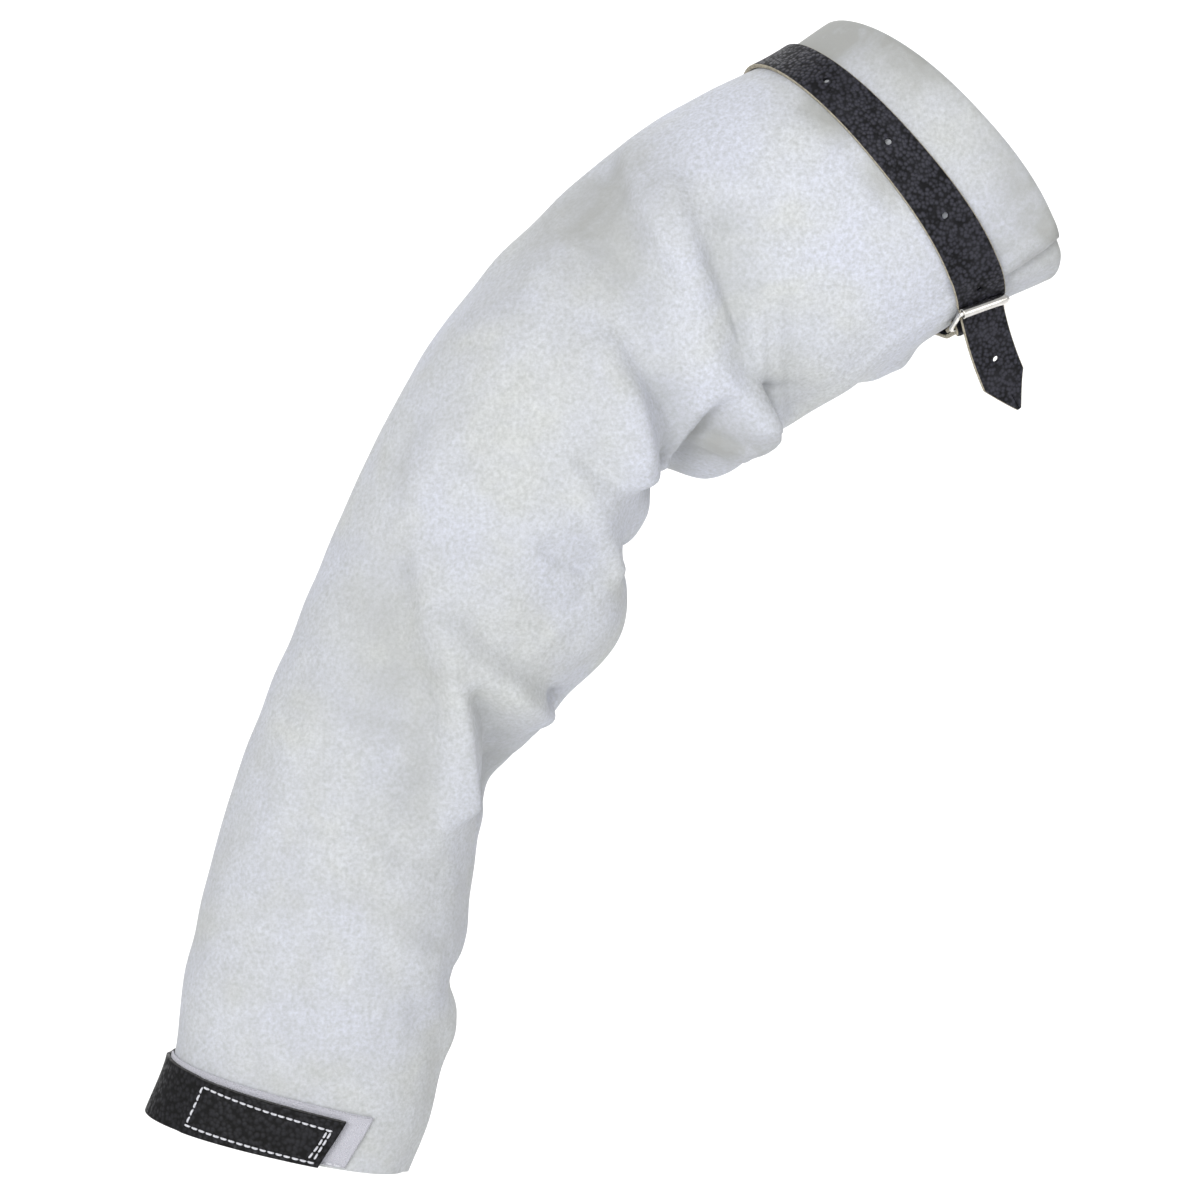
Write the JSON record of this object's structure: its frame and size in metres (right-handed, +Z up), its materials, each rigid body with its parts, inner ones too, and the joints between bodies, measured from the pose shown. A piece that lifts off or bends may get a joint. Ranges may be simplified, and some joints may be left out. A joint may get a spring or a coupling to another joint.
{
  "type": "welding sleeve",
  "caption": "Grey split-leather welding sleeve in its worn, bent form, with a black buckled upper-arm strap and a stitched black wrist tab.",
  "frame": {"origin": "centre of the upper-arm strap's ring, on the sleeve's centreline", "axes": "+X from the wrist towards the shoulder, +Y from the sleeve's front to its back, +Z up"},
  "size_m": [0.4079, 0.1231, 0.5141],
  "materials": {
    "suede": "matte",
    "black_leather": "satin",
    "nickel": "polished",
    "hooks": "matte",
    "loops": "matte"
  },
  "bodies": {
    "root": {"sleeve_body": "suede", "upper_strap": "black_leather", "buckle_strap": "black_leather", "buckle_frame": "nickel", "buckle_roller": "nickel", "buckle_prong": "nickel", "wrist_tab": "black_leather", "hook_patch": "hooks", "loop_patch": "loops"}
  },
  "joints": []
}
